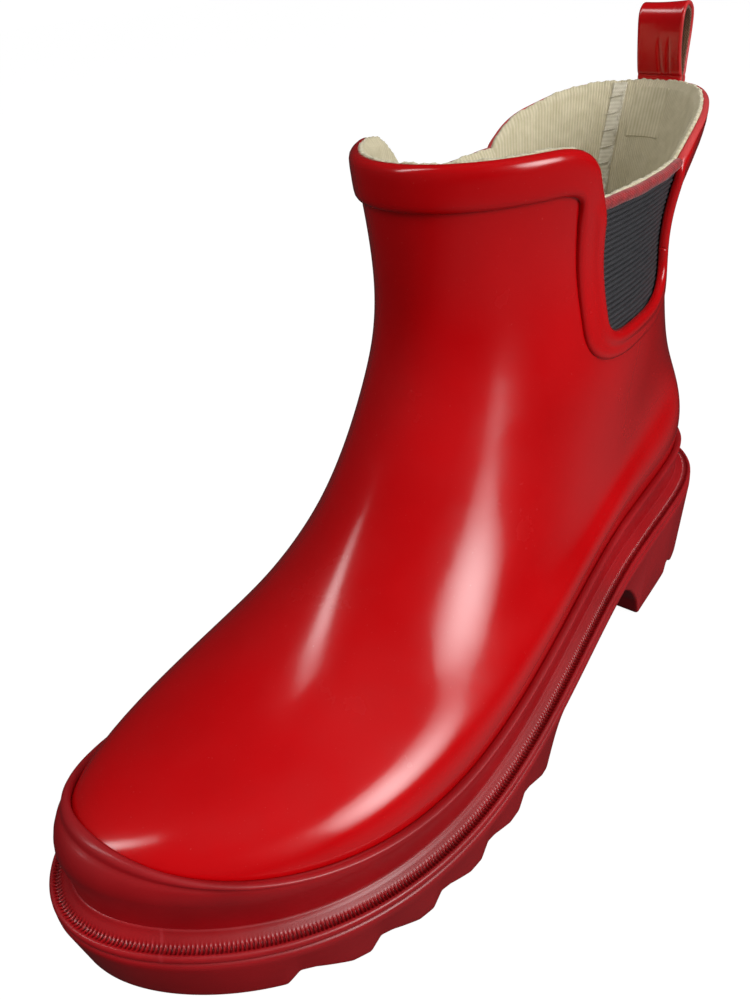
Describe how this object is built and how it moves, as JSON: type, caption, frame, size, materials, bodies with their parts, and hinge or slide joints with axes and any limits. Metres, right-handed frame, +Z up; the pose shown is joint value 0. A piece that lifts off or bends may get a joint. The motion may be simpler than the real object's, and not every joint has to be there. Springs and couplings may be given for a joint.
{
  "type": "rubber rain boot",
  "caption": "Ankle-high rubber rain boot with cleated sole, foxing band, elastic side gores, textile lining and a looped pull tab at the back.",
  "frame": {"origin": "on the ground under the front half of the heel, on the middle line of the heel", "axes": "+X towards the toe, +Y to the wearer's left (outer side of this left boot), +Z up"},
  "size_m": [0.283, 0.104, 0.1986],
  "materials": {
    "upper_rubber": "high gloss lacquered red rubber",
    "sole_rubber": "satin red rubber, fine ribbed bead",
    "lining_cotton": "cream ribbed cotton",
    "lining_tape": "cream woven tape, zigzag stitched",
    "gore_elastic": "black ribbed elastic webbing",
    "binding_red": "red rubberised binding",
    "tab_webbing": "tan twill webbing",
    "footbed": "cream textile over thin foam",
    "insole_board": "fibre board",
    "stiffener": "rubberised canvas stiffener",
    "foam_filler": "matt sponge rubber",
    "shank_steel": "plain rolled steel"
  },
  "bodies": {
    "foot": {"outsole": "sole_rubber", "heel_filler": "foam_filler", "sole_filler": "foam_filler", "shank": "shank_steel", "insole_board": "insole_board", "sockliner": "footbed", "foxing_band": "sole_rubber", "welt_strip": "sole_rubber", "upper_front": "upper_rubber", "toe_stiffener": "stiffener", "heel_counter": "stiffener", "lining_front": "lining_cotton", "collar_front": "upper_rubber", "gore_trim_left": "upper_rubber", "gore_trim_right": "upper_rubber", "gore_left": "gore_elastic", "gore_right": "gore_elastic", "gore_binding_left": "binding_red", "gore_binding_right": "binding_red"},
    "back_shaft": {"upper_back": "upper_rubber", "lining_back": "lining_cotton", "lining_seam_tape": "lining_tape", "collar_back": "upper_rubber", "back_trim_left": "upper_rubber", "back_trim_right": "upper_rubber", "pull_tab_anchor": "lining_tape"},
    "tab": {"pull_tab": "upper_rubber", "pull_tab_webbing": "tab_webbing"}
  },
  "joints": [
    {"name": "shaft_open", "type": "hinge", "parent": "foot", "child": "back_shaft", "pos_m": [-0.0605, 0, 0.078], "axis": [0, -1, 0], "range_deg": [0, 8]},
    {"name": "tab_swing", "type": "hinge", "parent": "back_shaft", "child": "tab", "pos_m": [-0.05788, 0.005, 0.179], "axis": [0, 1, 0], "range_deg": [-75, 75]}
  ]
}
